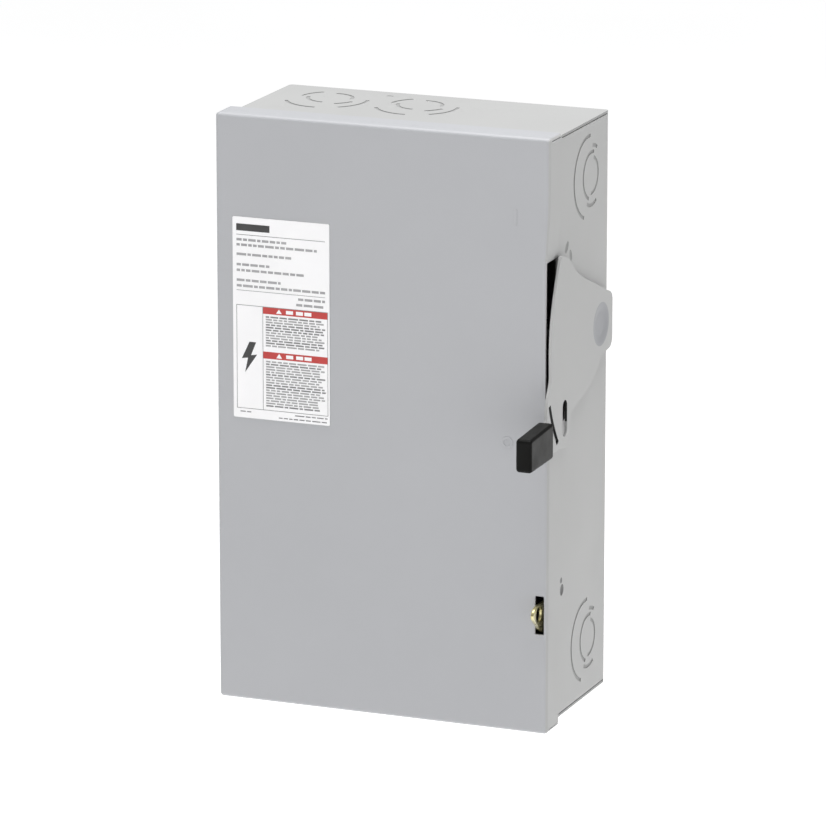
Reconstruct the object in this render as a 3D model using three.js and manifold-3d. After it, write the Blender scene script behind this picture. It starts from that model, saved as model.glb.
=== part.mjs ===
// Wall-mounted AC disconnect: a sheet-steel switch enclosure with a side-hinged cover, an external
// side lever and a two-pole fusible knife switch inside. Units are millimetres, +Z up, +X to the
// right of a person facing the cover, +Y into the wall. The origin is the middle of the back face.

import * as THREE from 'three';
import { mergeVertices } from 'three/addons/utils/BufferGeometryUtils.js';
import Module from 'manifold-3d';

const wasm = await Module();
wasm.setup();

// ---------------------------------------------------------------- driving dimensions
const SHEET = 1.5;
const GAP = 0.3;

const CASE_HALF_W = 104.5;
const CASE_HALF_H = 180;
const CASE_DEPTH = 95;
const SEAM = 0.6;

const COVER_HALF_W = 107.5;
const COVER_HALF_H = 183;
const COVER_FRONT = -108.5;
const FLANGE_DEPTH = 19.7;
const NOTCH_LOW = -8;
const NOTCH_HIGH = 109;
const NOTCH_CUT = 1.9;

const HINGE = { x: -108.6, y: -85.2, pin: 1.5, bore: 1.7, barrel: 3.2, length: 34, z: 120 };
const KNUCKLE_HALF = 6;
const KNUCKLE_GAP = 0.3;
const LEAF = { thick: 1.4, coverFront: -101, caseRear: -64, clear: 0.6 };

const LEVER = { y: -25, z: 53, x0: 107.9, x1: 109.7 };
const GRIP = { x0: 104.7, x1: 114.7, back: -118.2, front: -156, low: -7.7, high: 14 };
const SHAFT_R = 5;

const HASP = { x0: 100.6, x1: 102.6, eyeY: -109.6, eyeZ: -108, eyeR: 4.7 };
const HASP_SLOT = { x: 102.4, z: -108.7, width: 5.8, height: 24 };

const ROTOR = { y: -55, z: 53, bar: 9, blade: 34, x0: -57, x1: 72 };
const CRANK = { pinY: 5.5, pinZ: -10.6, x0: 84, x1: 88, pin: 2.5, pinEnd: 78.6, eye: 5, hub: 9,
  rotorHub: 8 };
const LINK = { x0: 79.2, x1: 83 };
const SHAFT = { x0: 83.4, x1: 106.3 };
const AXLE = { x0: 72.3, x1: 101 };
const SWING = THREE.MathUtils.degToRad(55);
const POLES = { left: -28, right: 28 };
const BASE_FRONT = -14;
const STRAP = { y0: -16.3, y1: -14.3 };

const FINE_ARC = 14;
const ARC = 8;
const ROUND = 12;
const SMALL_ROUND = 8;

// ---------------------------------------------------------------- materials
const paint = () => new THREE.MeshStandardMaterial({ color: 0xb4b7bb, roughness: 0.45, metalness: 0.1 });
const zinc = () => new THREE.MeshStandardMaterial({ color: 0xc4b878, roughness: 0.35, metalness: 0.9 });
const steel = () => new THREE.MeshStandardMaterial({ color: 0xa9abad, roughness: 0.35, metalness: 0.95 });
const copper = () => new THREE.MeshStandardMaterial({ color: 0xb87a52, roughness: 0.3, metalness: 0.95 });
const aluminium = () => new THREE.MeshStandardMaterial({ color: 0xc9cbce, roughness: 0.35, metalness: 0.9 });
const blackPlastic = () => new THREE.MeshStandardMaterial({ color: 0x232322, roughness: 0.5 });
const moulding = () => new THREE.MeshStandardMaterial({ color: 0x2b2624, roughness: 0.6 });
const redMoulding = () => new THREE.MeshStandardMaterial({ color: 0x7a2a20, roughness: 0.55 });
const labelStock = () => new THREE.MeshStandardMaterial({ color: 0xf2f2f0, roughness: 0.5 });

// ---------------------------------------------------------------- geometry helpers
const ALONG_X = new THREE.Matrix4().makeBasis(
  new THREE.Vector3(0, 1, 0), new THREE.Vector3(0, 0, 1), new THREE.Vector3(1, 0, 0));
const ALONG_Y = new THREE.Matrix4().makeBasis(
  new THREE.Vector3(1, 0, 0), new THREE.Vector3(0, 0, 1), new THREE.Vector3(0, -1, 0));

function solid(geometry) {
  const bare = geometry.clone();
  bare.deleteAttribute('normal');
  bare.deleteAttribute('uv');
  const merged = mergeVertices(bare, 1e-4);
  return new wasm.Manifold(new wasm.Mesh({
    numProp: 3,
    vertProperties: new Float32Array(merged.attributes.position.array),
    triVerts: new Uint32Array(merged.index.array),
  }));
}

function geometryOf(body) {
  const mesh = body.getMesh();
  const geometry = new THREE.BufferGeometry();
  geometry.setAttribute('position', new THREE.BufferAttribute(mesh.vertProperties, 3));
  geometry.setIndex(new THREE.BufferAttribute(mesh.triVerts, 1));
  geometry.computeVertexNormals();
  return geometry;
}

function box(x0, x1, y0, y1, z0, z1) {
  const geometry = new THREE.BoxGeometry(x1 - x0, y1 - y0, z1 - z0);
  geometry.translate((x0 + x1) / 2, (y0 + y1) / 2, (z0 + z1) / 2);
  return solid(geometry);
}

function extrude(shape, depth, segments = ARC) {
  return new THREE.ExtrudeGeometry(shape, { depth, bevelEnabled: false, curveSegments: segments });
}

// A (y, z) outline made into a plate between x0 and x1.
function plateX(shape, x0, x1, segments) {
  return solid(extrude(shape, x1 - x0, segments).applyMatrix4(ALONG_X).translate(x0, 0, 0));
}

// An (x, z) outline made into a plate between y0 and y1.
function plateY(shape, y0, y1, segments) {
  return solid(extrude(shape, y1 - y0, segments).applyMatrix4(ALONG_Y).translate(0, y1, 0));
}

// An (x, y) outline made into a plate between z0 and z1.
function plateZ(shape, z0, z1, segments) {
  return solid(extrude(shape, z1 - z0, segments).translate(0, 0, z0));
}

function polygon(points) {
  return new THREE.Shape(points.map(([a, b]) => new THREE.Vector2(a, b)));
}

function circle(a, b, radius) {
  return new THREE.Shape().absarc(a, b, radius, 0, 2 * Math.PI, false);
}

function rodX(x0, x1, y, z, radius, segments = ROUND) {
  return plateX(circle(y, z, radius), x0, x1, segments);
}

function rodY(y0, y1, x, z, radius, segments = ROUND) {
  return plateY(circle(x, z, radius), y0, y1, segments);
}

function rodZ(z0, z1, x, y, radius, segments = ROUND) {
  return plateZ(circle(x, y, radius), z0, z1, segments);
}

function roundedRectangle(a0, a1, b0, b1, r) {
  const shape = new THREE.Shape();
  shape.absarc(a1 - r, b1 - r, r, 0, Math.PI / 2, false);
  shape.absarc(a0 + r, b1 - r, r, Math.PI / 2, Math.PI, false);
  shape.absarc(a0 + r, b0 + r, r, Math.PI, 1.5 * Math.PI, false);
  shape.absarc(a1 - r, b0 + r, r, 1.5 * Math.PI, 2 * Math.PI, false);
  return shape;
}

// A slot with round ends that runs along the outline's second axis.
function slotShape(a, b0, b1, width) {
  return roundedRectangle(a - width / 2, a + width / 2, b0, b1, width / 2 - 0.01);
}

function arcBand(a, b, radius, width, fromDeg, toDeg) {
  const from = THREE.MathUtils.degToRad(fromDeg);
  const to = THREE.MathUtils.degToRad(toDeg);
  const shape = new THREE.Shape();
  shape.absarc(a, b, radius + width / 2, from, to, false);
  shape.absarc(a, b, radius - width / 2, to, from, true);
  return shape;
}

// Joined outlines of two circles, as of a crank or a link.
function crankShape(a0, b0, r0, a1, b1, r1) {
  const length = Math.hypot(a1 - a0, b1 - b0);
  const heading = Math.atan2(b1 - b0, a1 - a0);
  const lean = Math.acos((r0 - r1) / length);
  const shape = new THREE.Shape();
  shape.absarc(a0, b0, r0, heading + lean, heading - lean + 2 * Math.PI, false);
  shape.absarc(a1, b1, r1, heading - lean, heading + lean, false);
  return shape;
}

const assembly = new THREE.Group();

function add(name, body, material) {
  const mesh = new THREE.Mesh(geometryOf(body), material);
  mesh.name = name;
  assembly.add(mesh);
}

// ---------------------------------------------------------------- knockouts
// Lanced rings of a concentric conduit knockout: [radius, from, to] in degrees about the inner
// centre, which sits nearer to the back than the large outer ring.
const KNOCKOUT_DEPTH = 0.5;
const KNOCKOUT_LINE = 0.9;
const OUTER_SHIFT = 5;
const SIDE_RINGS = [[14.4, 75, 250], [11, -95, 72], [18.2, -116, -64]];
const SIDE_OUTER = [25, 84, 252];
const END_RINGS = [[18, 125, 180], [13.6, 184, 272], [13.6, 2, 96]];
const END_OUTERS = [[25, 208, 275], [25, -52, 14]];
const SIDE_KNOCKOUTS = { y: -29.5, zs: [145.5, -143.5] };
const END_KNOCKOUTS = { y: -29.5, xs: [-65.5, -6.5] };

function sideKnockouts(faceX, outward) {
  let cuts = null;
  const x0 = outward > 0 ? faceX - KNOCKOUT_DEPTH : faceX - 1;
  const x1 = outward > 0 ? faceX + 1 : faceX + KNOCKOUT_DEPTH;
  for (const z of SIDE_KNOCKOUTS.zs) {
    const y = SIDE_KNOCKOUTS.y;
    const bands = SIDE_RINGS.map(([r, from, to]) => arcBand(y, z, r, KNOCKOUT_LINE, from, to));
    const [outerR, outerFrom, outerTo] = SIDE_OUTER;
    bands.push(arcBand(y - OUTER_SHIFT, z, outerR, KNOCKOUT_LINE, outerFrom, outerTo));
    for (const band of bands) {
      const cut = plateX(band, x0, x1, ARC);
      cuts = cuts ? cuts.add(cut) : cut;
    }
  }
  return cuts;
}

function endKnockouts(faceZ, outward) {
  let cuts = null;
  const z0 = outward > 0 ? faceZ - KNOCKOUT_DEPTH : faceZ - 1;
  const z1 = outward > 0 ? faceZ + 1 : faceZ + KNOCKOUT_DEPTH;
  for (const x of END_KNOCKOUTS.xs) {
    const y = END_KNOCKOUTS.y;
    const bands = END_RINGS.map(([r, from, to]) => arcBand(x, y, r, KNOCKOUT_LINE, from, to));
    for (const [r, from, to] of END_OUTERS) {
      bands.push(arcBand(x, y - OUTER_SHIFT, r, KNOCKOUT_LINE, from, to));
    }
    for (const band of bands) {
      const cut = plateZ(band, z0, z1, ARC);
      cuts = cuts ? cuts.add(cut) : cut;
    }
  }
  return cuts;
}

// ---------------------------------------------------------------- enclosure
const MOUNT_HOLE_R = 3.5;
const MOUNT_HOLES = { topZ: 160, lowX: 74, lowZ: -160 };
const WALL_TOP = CASE_HALF_H - SHEET - SEAM;
const WALL_IN = CASE_HALF_W - SHEET;
const WALL_BACK = -SHEET - GAP;

function backPanel() {
  let body = box(-CASE_HALF_W, CASE_HALF_W, -SHEET, 0, -CASE_HALF_H, CASE_HALF_H);
  const holes = [[0, MOUNT_HOLES.topZ], [-MOUNT_HOLES.lowX, MOUNT_HOLES.lowZ],
    [MOUNT_HOLES.lowX, MOUNT_HOLES.lowZ]];
  for (const [x, z] of holes) {
    body = body.subtract(rodY(-SHEET - 1, 1, x, z, MOUNT_HOLE_R));
  }
  return body;
}

function sideWall(side) {
  const outer = side * CASE_HALF_W;
  const inner = side * WALL_IN;
  return box(Math.min(inner, outer), Math.max(inner, outer), -CASE_DEPTH, WALL_BACK, -WALL_TOP,
    WALL_TOP)
    .subtract(sideKnockouts(outer, side));
}

const LEVER_WINDOW = { front: -86, low: 24 };
const LOCK_SLOT = { y: -86.4, low: -2.4, high: 20, width: 7.6 };
const WALL_LOCK_HOLE = { front: -89.5, rear: -68.5, low: 4, high: 21, round: 8.4 };
const BUSH = { barrel: 7.2, flange: 10.5, inner: 100.5, seat: 104.8, outer: 106.2 };

function rightWall() {
  const lockHole = roundedRectangle(WALL_LOCK_HOLE.front, WALL_LOCK_HOLE.rear, WALL_LOCK_HOLE.low,
    WALL_LOCK_HOLE.high, WALL_LOCK_HOLE.round);
  return sideWall(1)
    .subtract(box(WALL_IN - 1, CASE_HALF_W + 1, -CASE_DEPTH - 1, LEVER_WINDOW.front,
      LEVER_WINDOW.low, NOTCH_HIGH))
    .subtract(plateX(lockHole, WALL_IN - 1, CASE_HALF_W + 1))
    .subtract(rodX(WALL_IN - 1, CASE_HALF_W + 1, LEVER.y, LEVER.z, BUSH.barrel + GAP));
}

function endCap(side) {
  const face = side * CASE_HALF_H;
  const [z0, z1] = side > 0 ? [face - SHEET, face] : [face, face + SHEET];
  return box(-CASE_HALF_W, CASE_HALF_W, -CASE_DEPTH, WALL_BACK, z0, z1)
    .subtract(endKnockouts(face, side));
}

// ---------------------------------------------------------------- cover and hinges
function cover() {
  const rear = COVER_FRONT + FLANGE_DEPTH;
  const inX = COVER_HALF_W - SHEET;
  const inZ = COVER_HALF_H - SHEET;
  return box(-COVER_HALF_W, COVER_HALF_W, COVER_FRONT, rear, -COVER_HALF_H, COVER_HALF_H)
    .subtract(box(-inX, inX, COVER_FRONT + SHEET, rear + 1, -inZ, inZ))
    .subtract(box(COVER_HALF_W - NOTCH_CUT, COVER_HALF_W + 1, COVER_FRONT - 1, rear + 1,
      NOTCH_LOW, NOTCH_HIGH))
    .subtract(box(HASP_SLOT.x - HASP_SLOT.width / 2, HASP_SLOT.x + HASP_SLOT.width / 2,
      COVER_FRONT - 1, COVER_FRONT + SHEET + 1, HASP_SLOT.z - HASP_SLOT.height / 2,
      HASP_SLOT.z + HASP_SLOT.height / 2));
}

const LABEL_GAP = 0.1;
const LABEL = { x0: -96.3, x1: -33.1, z0: -4.4, z1: 120.1, thick: 0.4 };

function coverLabel() {
  const outline = roundedRectangle(LABEL.x0, LABEL.x1, LABEL.z0, LABEL.z1, 1);
  return plateY(outline, COVER_FRONT - LABEL_GAP - LABEL.thick, COVER_FRONT - LABEL_GAP, 3);
}

// The cover's leaf: two barrels on the flange, above and below the case's barrel.
function coverKnuckle(zMid) {
  const half = HINGE.length / 2;
  const leafX0 = -COVER_HALF_W - GAP - LEAF.thick;
  const leafX1 = -COVER_HALF_W - GAP;
  const inner = KNUCKLE_HALF + KNUCKLE_GAP;
  let body = box(leafX0, leafX1, LEAF.coverFront, HINGE.y - HINGE.barrel - 0.5, zMid - half,
    zMid + half);
  for (const [z0, z1] of [[inner, half], [-half, -inner]]) {
    body = body.add(rodZ(zMid + z0, zMid + z1, HINGE.x, HINGE.y, HINGE.barrel));
    body = body.add(box(leafX0, leafX1, HINGE.y - HINGE.barrel - 1, HINGE.y, zMid + z0, zMid + z1));
  }
  return body.subtract(rodZ(zMid - half - 1, zMid + half + 1, HINGE.x, HINGE.y, HINGE.bore));
}

// The case's leaf lies on the left wall and carries the middle barrel.
function hingeLeaf(zMid) {
  const half = HINGE.length / 2;
  const leafX0 = -CASE_HALF_W - GAP - LEAF.thick;
  const leafX1 = -CASE_HALF_W - GAP;
  return box(leafX0, leafX1, HINGE.y + HINGE.barrel + LEAF.clear, LEAF.caseRear, zMid - half,
    zMid + half)
    .add(box(HINGE.x, leafX1, HINGE.y, HINGE.y + HINGE.barrel + 2, zMid - KNUCKLE_HALF,
      zMid + KNUCKLE_HALF))
    .add(rodZ(zMid - KNUCKLE_HALF, zMid + KNUCKLE_HALF, HINGE.x, HINGE.y, HINGE.barrel))
    .subtract(rodZ(zMid - half, zMid + half, HINGE.x, HINGE.y, HINGE.bore));
}

function hingePin(zMid) {
  const half = HINGE.length / 2 + LEAF.clear;
  return rodZ(zMid - half, zMid + half, HINGE.x, HINGE.y, HINGE.pin, SMALL_ROUND);
}

// A stamped ear that stands out through the cover's slot and takes a padlock: a flat top, a round
// nose and an underside that slopes back to a deeper root, as (y, z) points.
const HASP_OUTLINE = [[-78, -124], [-78, -101.6], [-112, -101.9], [-115.6, -102.7], [-118, -104.3],
  [-119, -106.6], [-118.3, -108.8], [-115.7, -111.3], [-108.9, -117], [-104.5, -119.9], [-98, -123.2]];

function padlockHasp() {
  return plateX(polygon(HASP_OUTLINE), HASP.x0, HASP.x1)
    .subtract(rodX(HASP.x0 - 1, HASP.x1 + 1, HASP.eyeY, HASP.eyeZ, HASP.eyeR));
}

// ---------------------------------------------------------------- side lever
const DISH = { mouth: 13.5, floor: 7, depth: 1.1, overlap: 0.6, wall: 0.6 };
const ARC_SLOT = { from: 199.5, to: 217.8, radius: 92.6, width: 3.6 };
const TANG = { front: -149, low: -3.5, high: 8.5, root: -119 };
const HUB_ROUND = { y: -11.3, r: 6.3, top: 64.2, low: 41 };
// The long top edge, then the rim down the front, then the neck to the tang, as (y, z) points.
const LEVER_TOP = [[-15.3, 72.3], [-25.8, 76.8], [-36.4, 81], [-46.8, 85], [-57.2, 89.4], [-64, 92.8],
  [-69, 96.1], [-73.5, 99.8], [-78.2, 103.5], [-83, 106.5], [-88.1, 108.5], [-92, 109.4]];
const LEVER_RIM = [[-94, 109.3], [-95.1, 107.9], [-97.4, 102.6], [-100.3, 95.6], [-103.2, 88],
  [-105.6, 80.3], [-107.6, 71.5], [-108.8, 63], [-109.3, 54], [-109.2, 46], [-108.9, 39.5]];
const LEVER_NECK = [[-109.3, 36.6], [-110.8, 33.6], [-113.1, 30.4], [-115.2, 26.9], [-116.3, 21],
  [-117.2, 15.4]];
const LEVER_TAIL = [[-119, -6.5], [-84, -9.5], [-80, -8.4], [-77.1, -5.5], [-76, -1.5], [-76, 8],
  [-75.2, 9.9], [-44, 18.5], [-39.5, 20.6], [-35, 23.6], [-31, 27.4], [-28, 31], [-22, 33.6]];

function leverOutline() {
  const shape = new THREE.Shape();
  shape.absarc(HUB_ROUND.y, HUB_ROUND.top, HUB_ROUND.r, 0, THREE.MathUtils.degToRad(68), false);
  const front = [[TANG.root, 13.4], [TANG.root, TANG.high], [TANG.front, TANG.high],
    [TANG.front, TANG.low], [TANG.root, TANG.low]];
  for (const [y, z] of [...LEVER_TOP, ...LEVER_RIM, ...LEVER_NECK, ...front, ...LEVER_TAIL]) {
    shape.lineTo(y, z);
  }
  shape.absarc(HUB_ROUND.y, HUB_ROUND.low, HUB_ROUND.r, 1.6 * Math.PI, 2 * Math.PI, false);
  return shape;
}

function dishCone(x, grow) {
  const profile = [
    new THREE.Vector2(0, 0),
    new THREE.Vector2(DISH.floor + grow, 0),
    new THREE.Vector2(DISH.mouth + grow, DISH.depth),
    new THREE.Vector2(DISH.mouth + grow, DISH.depth + DISH.overlap),
    new THREE.Vector2(0, DISH.depth + DISH.overlap),
  ];
  const geometry = new THREE.LatheGeometry(profile, 2 * ROUND);
  geometry.rotateZ(-Math.PI / 2);
  geometry.translate(x, LEVER.y, LEVER.z);
  return solid(geometry);
}

function handleLever() {
  const slit = arcBand(LEVER.y, LEVER.z, ARC_SLOT.radius, ARC_SLOT.width, ARC_SLOT.from, ARC_SLOT.to);
  return plateX(leverOutline(), LEVER.x0, LEVER.x1, FINE_ARC)
    .add(dishCone(LEVER.x0 - DISH.depth, DISH.wall))
    .subtract(dishCone(LEVER.x1 - DISH.depth, 0))
    .subtract(plateX(slit, LEVER.x0 - 1, LEVER.x1 + 1))
    .subtract(plateX(slotShape(LOCK_SLOT.y, LOCK_SLOT.low, LOCK_SLOT.high, LOCK_SLOT.width),
      LEVER.x0 - 1, LEVER.x1 + 1));
}

function handleGrip() {
  const outline = [[GRIP.back, GRIP.low], [GRIP.back, GRIP.high], [GRIP.front + 3, GRIP.high - 1.8],
    [GRIP.front, GRIP.high - 4.5], [GRIP.front, GRIP.low + 2.7], [GRIP.front + 2.5, GRIP.low - 0.5]];
  const seat0 = LEVER.x0 - GAP;
  const seat1 = LEVER.x1 + GAP;
  return plateX(polygon(outline), GRIP.x0, GRIP.x1)
    .subtract(box(seat0, seat1, TANG.front - GAP, GRIP.back + 1, TANG.low - GAP, TANG.high + GAP))
    .subtract(box(seat0, seat1, TANG.root - GAP, GRIP.back + 1, GRIP.low - 1, GRIP.high + 1));
}

function shaftBushing() {
  return rodX(BUSH.inner, BUSH.seat, LEVER.y, LEVER.z, BUSH.barrel)
    .add(rodX(BUSH.seat - 0.01, BUSH.outer, LEVER.y, LEVER.z, BUSH.flange))
    .subtract(rodX(BUSH.inner - 1, BUSH.outer + 1, LEVER.y, LEVER.z, SHAFT_R + GAP));
}

// ---------------------------------------------------------------- drive train
const BRACKET = { x0: 96, x1: 98, front: -68, low: 26, high: 80, foot: 18, thick: 2 };
const SPRING = { x0: 88.6, x1: 95.4, outer: 9.4, bore: 6.4 };
const STUB_R = 4;

function mechanismBracket() {
  const back = WALL_BACK;
  return box(BRACKET.x0, BRACKET.x1, BRACKET.front, back, BRACKET.low, BRACKET.high)
    .add(box(BRACKET.x0 - BRACKET.foot, BRACKET.x1, back - BRACKET.thick, back, BRACKET.low,
      BRACKET.high))
    .subtract(rodX(BRACKET.x0 - 1, BRACKET.x1 + 1, LEVER.y, LEVER.z, SHAFT_R + GAP))
    .subtract(rodX(BRACKET.x0 - 1, BRACKET.x1 + 1, ROTOR.y, ROTOR.z, STUB_R + GAP));
}

function driveCrank() {
  const pinY = LEVER.y + CRANK.pinY;
  const pinZ = LEVER.z + CRANK.pinZ;
  return plateX(crankShape(LEVER.y, LEVER.z, CRANK.hub, pinY, pinZ, CRANK.eye), CRANK.x0, CRANK.x1)
    .add(rodX(CRANK.pinEnd, CRANK.x0 + 1, pinY, pinZ, CRANK.pin, SMALL_ROUND))
    .subtract(rodX(CRANK.x0 - 1, CRANK.x1 + 1, LEVER.y, LEVER.z, SHAFT_R + GAP));
}

function rotorArm() {
  const pinY = ROTOR.y + CRANK.pinY;
  const pinZ = ROTOR.z + CRANK.pinZ;
  const web = crankShape(ROTOR.y, ROTOR.z, CRANK.rotorHub, pinY, pinZ, CRANK.eye);
  return plateX(web, CRANK.x0, CRANK.x1)
    .add(rodX(CRANK.pinEnd, CRANK.x0 + 1, pinY, pinZ, CRANK.pin, SMALL_ROUND))
    .add(rodX(AXLE.x0, AXLE.x1, ROTOR.y, ROTOR.z, STUB_R));
}

function driveLink() {
  const z = LEVER.z + CRANK.pinZ;
  const y0 = LEVER.y + CRANK.pinY;
  const y1 = ROTOR.y + CRANK.pinY;
  return plateX(crankShape(y0, z, CRANK.eye, y1, z, CRANK.eye), LINK.x0, LINK.x1)
    .subtract(rodX(LINK.x0 - 1, LINK.x1 + 1, y0, z, CRANK.pin + GAP, SMALL_ROUND))
    .subtract(rodX(LINK.x0 - 1, LINK.x1 + 1, y1, z, CRANK.pin + GAP, SMALL_ROUND));
}

function operatingSpring() {
  return rodX(SPRING.x0, SPRING.x1, LEVER.y, LEVER.z, SPRING.outer)
    .subtract(rodX(SPRING.x0 - 1, SPRING.x1 + 1, LEVER.y, LEVER.z, SPRING.bore));
}

// A knife blade, drawn closed and then turned to the open position about the rotor.
const BLADE = { half: 1.2, width: 12, nose: 2.5 };

function bladeOutline(grow) {
  const w = BLADE.width / 2 + grow;
  const tip = ROTOR.blade + grow;
  const shape = new THREE.Shape();
  shape.moveTo(w, -tip + BLADE.nose);
  shape.lineTo(w, tip - BLADE.nose);
  shape.lineTo(w - BLADE.nose, tip);
  shape.lineTo(-w + BLADE.nose, tip);
  shape.lineTo(-w, tip - BLADE.nose);
  shape.lineTo(-w, -tip + BLADE.nose);
  shape.lineTo(-w + BLADE.nose, -tip);
  shape.lineTo(w - BLADE.nose, -tip);
  return shape;
}

function openBlade(x, grow) {
  const half = BLADE.half + grow;
  const geometry = extrude(bladeOutline(grow), 2 * half).applyMatrix4(ALONG_X);
  geometry.translate(-half, 0, 0);
  geometry.rotateX(SWING);
  geometry.translate(x, ROTOR.y, ROTOR.z);
  return solid(geometry);
}

function rotorBar() {
  let body = rodX(ROTOR.x0, ROTOR.x1, ROTOR.y, ROTOR.z, ROTOR.bar);
  for (const x of Object.values(POLES)) {
    body = body.subtract(openBlade(x, GAP));
  }
  return body;
}

// ---------------------------------------------------------------- switch and fuse bases
const SWITCH_BASE = { half: 58, low: -8, high: 124, ribLow: 14, ribHigh: 122, ribFront: -70 };
const FUSE_BASE = { half: 58, low: -136, high: -14, ribHalf: 2, ribFront: -44, ribInset: 2 };
const ROTOR_CLEAR = 0.4;
const RIBS = [[-56, -51], [-2, 2], [51, 56]];

function switchBase() {
  let body = box(-SWITCH_BASE.half, SWITCH_BASE.half, BASE_FRONT, WALL_BACK, SWITCH_BASE.low,
    SWITCH_BASE.high);
  for (const [x0, x1] of RIBS) {
    body = body.add(box(x0, x1, SWITCH_BASE.ribFront, BASE_FRONT + 1, SWITCH_BASE.ribLow,
      SWITCH_BASE.ribHigh));
  }
  return body.subtract(rodX(-SWITCH_BASE.half - 1, SWITCH_BASE.half + 1, ROTOR.y, ROTOR.z,
    ROTOR.bar + ROTOR_CLEAR));
}

function fuseBase() {
  return box(-FUSE_BASE.half, FUSE_BASE.half, BASE_FRONT, WALL_BACK, FUSE_BASE.low, FUSE_BASE.high)
    .add(box(-FUSE_BASE.ribHalf, FUSE_BASE.ribHalf, FUSE_BASE.ribFront, BASE_FRONT + 1,
      FUSE_BASE.low + FUSE_BASE.ribInset, FUSE_BASE.high - FUSE_BASE.ribInset));
}

// Contact jaws: two leaves that the blade's end swings between, joined past its tip.
const JAW = { in: 1.9, out: 3.4, front: -62, rear: -49, mouth: 25.5, root: 44, bridge: 46, leg: 6 };
const STRAP_HALF = 7;

function jaw(x, up, footEnd) {
  const at = (offset) => ROTOR.z + up * offset;
  const span = (a, b) => [Math.min(a, b), Math.max(a, b)];
  const leafZ = span(at(JAW.mouth), at(JAW.root + 0.5));
  const bridgeZ = span(at(JAW.root), at(JAW.bridge));
  const footZ = span(at(JAW.root), footEnd);
  return box(x - JAW.out, x - JAW.in, JAW.front, JAW.rear, ...leafZ)
    .add(box(x + JAW.in, x + JAW.out, JAW.front, JAW.rear, ...leafZ))
    .add(box(x - JAW.out, x + JAW.out, JAW.front, JAW.rear, ...bridgeZ))
    .add(box(x - JAW.leg, x + JAW.leg, JAW.rear - 0.5, STRAP.y1, ...bridgeZ))
    .add(box(x - STRAP_HALF, x + STRAP_HALF, STRAP.y0, STRAP.y1, ...footZ));
}

// Wire lugs: a block with a wire hole up through it and a set screw in front.
const LUG = { half: 8, y0: -34, height: 18, wire: 4.6, screw: 4 };

function lug(x, y1, z0) {
  const yMid = (LUG.y0 + y1) / 2;
  return box(x - LUG.half, x + LUG.half, LUG.y0, y1, z0, z0 + LUG.height)
    .subtract(rodZ(z0 - 1, z0 + LUG.height + 1, x, yMid, LUG.wire))
    .subtract(rodY(LUG.y0 - 1, yMid, x, z0 + LUG.height / 2, LUG.screw + GAP, SMALL_ROUND));
}

const SLOT_CUT = { depth: 0.9, half: 0.6 };

function setScrew(x, y0, length, z, radius) {
  return rodY(y0, y0 + length, x, z, radius, SMALL_ROUND)
    .subtract(box(x - radius - 1, x + radius + 1, y0 - 1, y0 + SLOT_CUT.depth, z - SLOT_CUT.half,
      z + SLOT_CUT.half));
}

// Fuse clips: a U of two sprung leaves that hold a cartridge's ferrule.
const CLIP = { in: 10.4, out: 11.8, front: -46, height: 16, floor: 1.8 };
const CLIP_Z = { upper: -46, lower: -106 };

function fuseClip(x, z0, y1, tail) {
  const y0 = y1 - CLIP.floor;
  const body = box(x - CLIP.out, x + CLIP.out, y0, y1, z0, z0 + CLIP.height)
    .add(box(x - CLIP.out, x - CLIP.in, CLIP.front, y1, z0, z0 + CLIP.height))
    .add(box(x + CLIP.in, x + CLIP.out, CLIP.front, y1, z0, z0 + CLIP.height));
  return tail ? body.add(box(x - STRAP_HALF, x + STRAP_HALF, y0, y1, tail, z0 + 1)) : body;
}

const HEAD_HEIGHT = 3;

function screwHead(x, z, y1, radius) {
  return setScrew(x, y1 - HEAD_HEIGHT, HEAD_HEIGHT, z, radius);
}

// ---------------------------------------------------------------- neutral and ground
const NEUTRAL = { x: -83, z0: -70, z1: 10, block: 11, bar: 6, seat: -12, front: -22, inset: 6 };
const NEUTRAL_WIRES = { y: -17.4, zs: [-50, -30, -10], r: 3 };
const NEUTRAL_SCREWS = { upper: -20, lower: -40, r: 3.6 };
const GROUND = { x: -83, z: -152, half: 8, front: -16, height: 16, wireY: -8.5, wireR: 3.6, screwR: 4.4 };

function neutralInsulator() {
  return box(NEUTRAL.x - NEUTRAL.block, NEUTRAL.x + NEUTRAL.block, NEUTRAL.seat, WALL_BACK,
    NEUTRAL.z0, NEUTRAL.z1);
}

function neutralBar() {
  let body = box(NEUTRAL.x - NEUTRAL.bar, NEUTRAL.x + NEUTRAL.bar, NEUTRAL.front,
    NEUTRAL.seat - GAP, NEUTRAL.z0 + NEUTRAL.inset, NEUTRAL.z1 - NEUTRAL.inset);
  for (const z of NEUTRAL_WIRES.zs) {
    body = body.subtract(rodX(NEUTRAL.x - NEUTRAL.block, NEUTRAL.x + NEUTRAL.block,
      NEUTRAL_WIRES.y, z, NEUTRAL_WIRES.r, SMALL_ROUND));
  }
  return body;
}

function groundLug() {
  return box(GROUND.x - GROUND.half, GROUND.x + GROUND.half, GROUND.front, WALL_BACK, GROUND.z,
    GROUND.z + GROUND.height)
    .subtract(rodZ(GROUND.z - 1, GROUND.z + GROUND.height + 1, GROUND.x, GROUND.wireY,
      GROUND.wireR, SMALL_ROUND));
}

// ---------------------------------------------------------------- assembly
function addEnclosure() {
  add('back_panel', backPanel(), paint());
  add('side_wall_left', sideWall(-1), paint());
  add('side_wall_right', rightWall(), paint());
  add('end_cap_top', endCap(1), paint());
  add('end_cap_bottom', endCap(-1), paint());
  add('padlock_hasp', padlockHasp(), zinc());
}

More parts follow.
